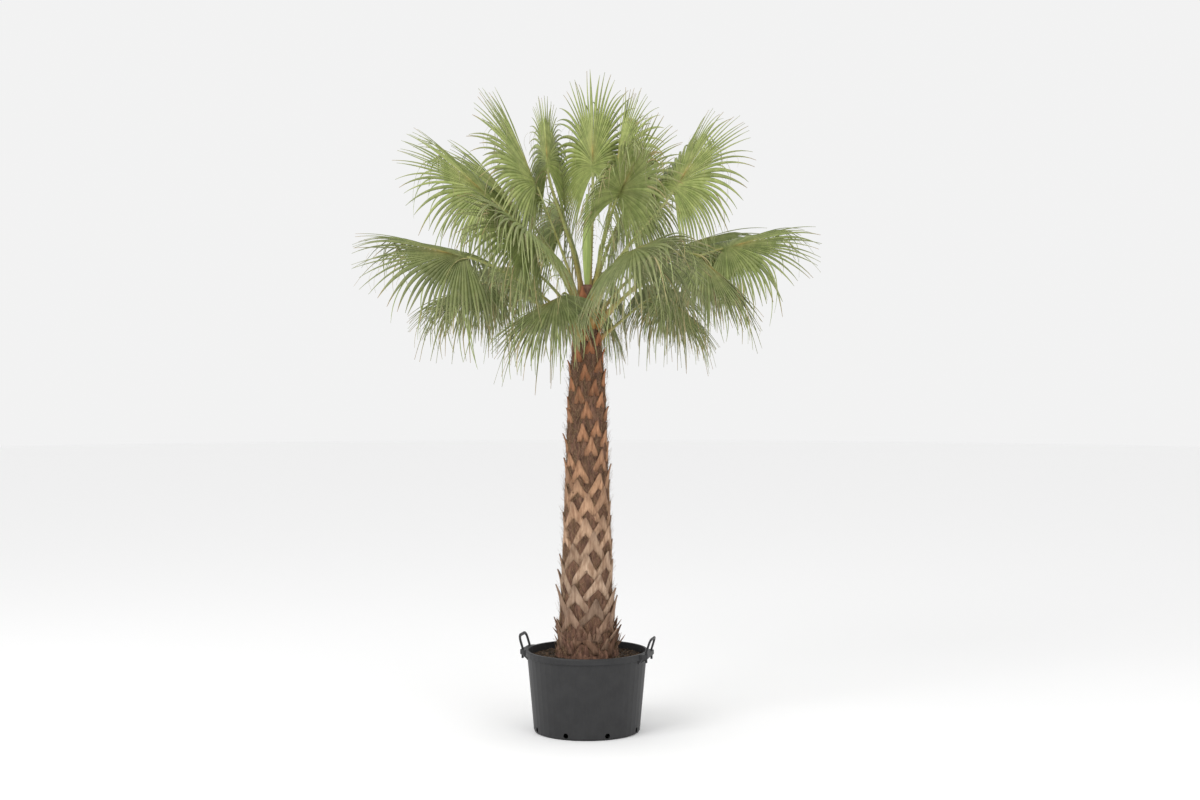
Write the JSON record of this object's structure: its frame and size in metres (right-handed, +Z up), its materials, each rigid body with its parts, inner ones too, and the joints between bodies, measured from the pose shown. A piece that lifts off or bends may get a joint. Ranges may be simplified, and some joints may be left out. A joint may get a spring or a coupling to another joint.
{
  "type": "potted fan palm",
  "caption": "Young fan palm with a bark-clad trunk and a round crown of palmate fronds, standing in a round black nursery pot with two carrying loops.",
  "frame": {"origin": "centre of the pot's flat underside", "axes": "+Z up along the trunk, +X through the right carrying loop"},
  "size_m": [2.2953, 2.2413, 3.4957],
  "materials": {
    "pot": "matte black moulded plastic",
    "loops": "matte black moulded plastic",
    "potting_mix": "damp crumbly potting mix with bark",
    "trunk": "fibrous bark with split leaf bases",
    "stems": "smooth green leaf stem",
    "fans": "pleated green leaf blade"
  },
  "bodies": {
    "root": {"fan_01": "fans", "fan_02": "fans", "fan_03": "fans", "fan_04": "fans", "fan_05": "fans", "fan_06": "fans", "fan_07": "fans", "fan_08": "fans", "fan_09": "fans", "fan_10": "fans", "fan_11": "fans", "fan_12": "fans", "fan_13": "fans", "fan_14": "fans", "fan_15": "fans", "fan_16": "fans", "fan_17": "fans", "fan_18": "fans", "fan_19": "fans", "fan_20": "fans", "fan_21": "fans", "fan_22": "fans", "fan_23": "fans", "loop_left": "loops", "loop_right": "loops", "pot": "pot", "potting_mix": "potting_mix", "spear_leaf": "stems", "stem_01": "stems", "stem_02": "stems", "stem_03": "stems", "stem_04": "stems", "stem_05": "stems", "stem_06": "stems", "stem_07": "stems", "stem_08": "stems", "stem_09": "stems", "stem_10": "stems", "stem_11": "stems", "stem_12": "stems", "stem_13": "stems", "stem_14": "stems", "stem_15": "stems", "stem_16": "stems", "stem_17": "stems", "stem_18": "stems", "stem_19": "stems", "stem_20": "stems", "stem_21": "stems", "stem_22": "stems", "stem_23": "stems", "trunk": "trunk"}
  },
  "joints": []
}
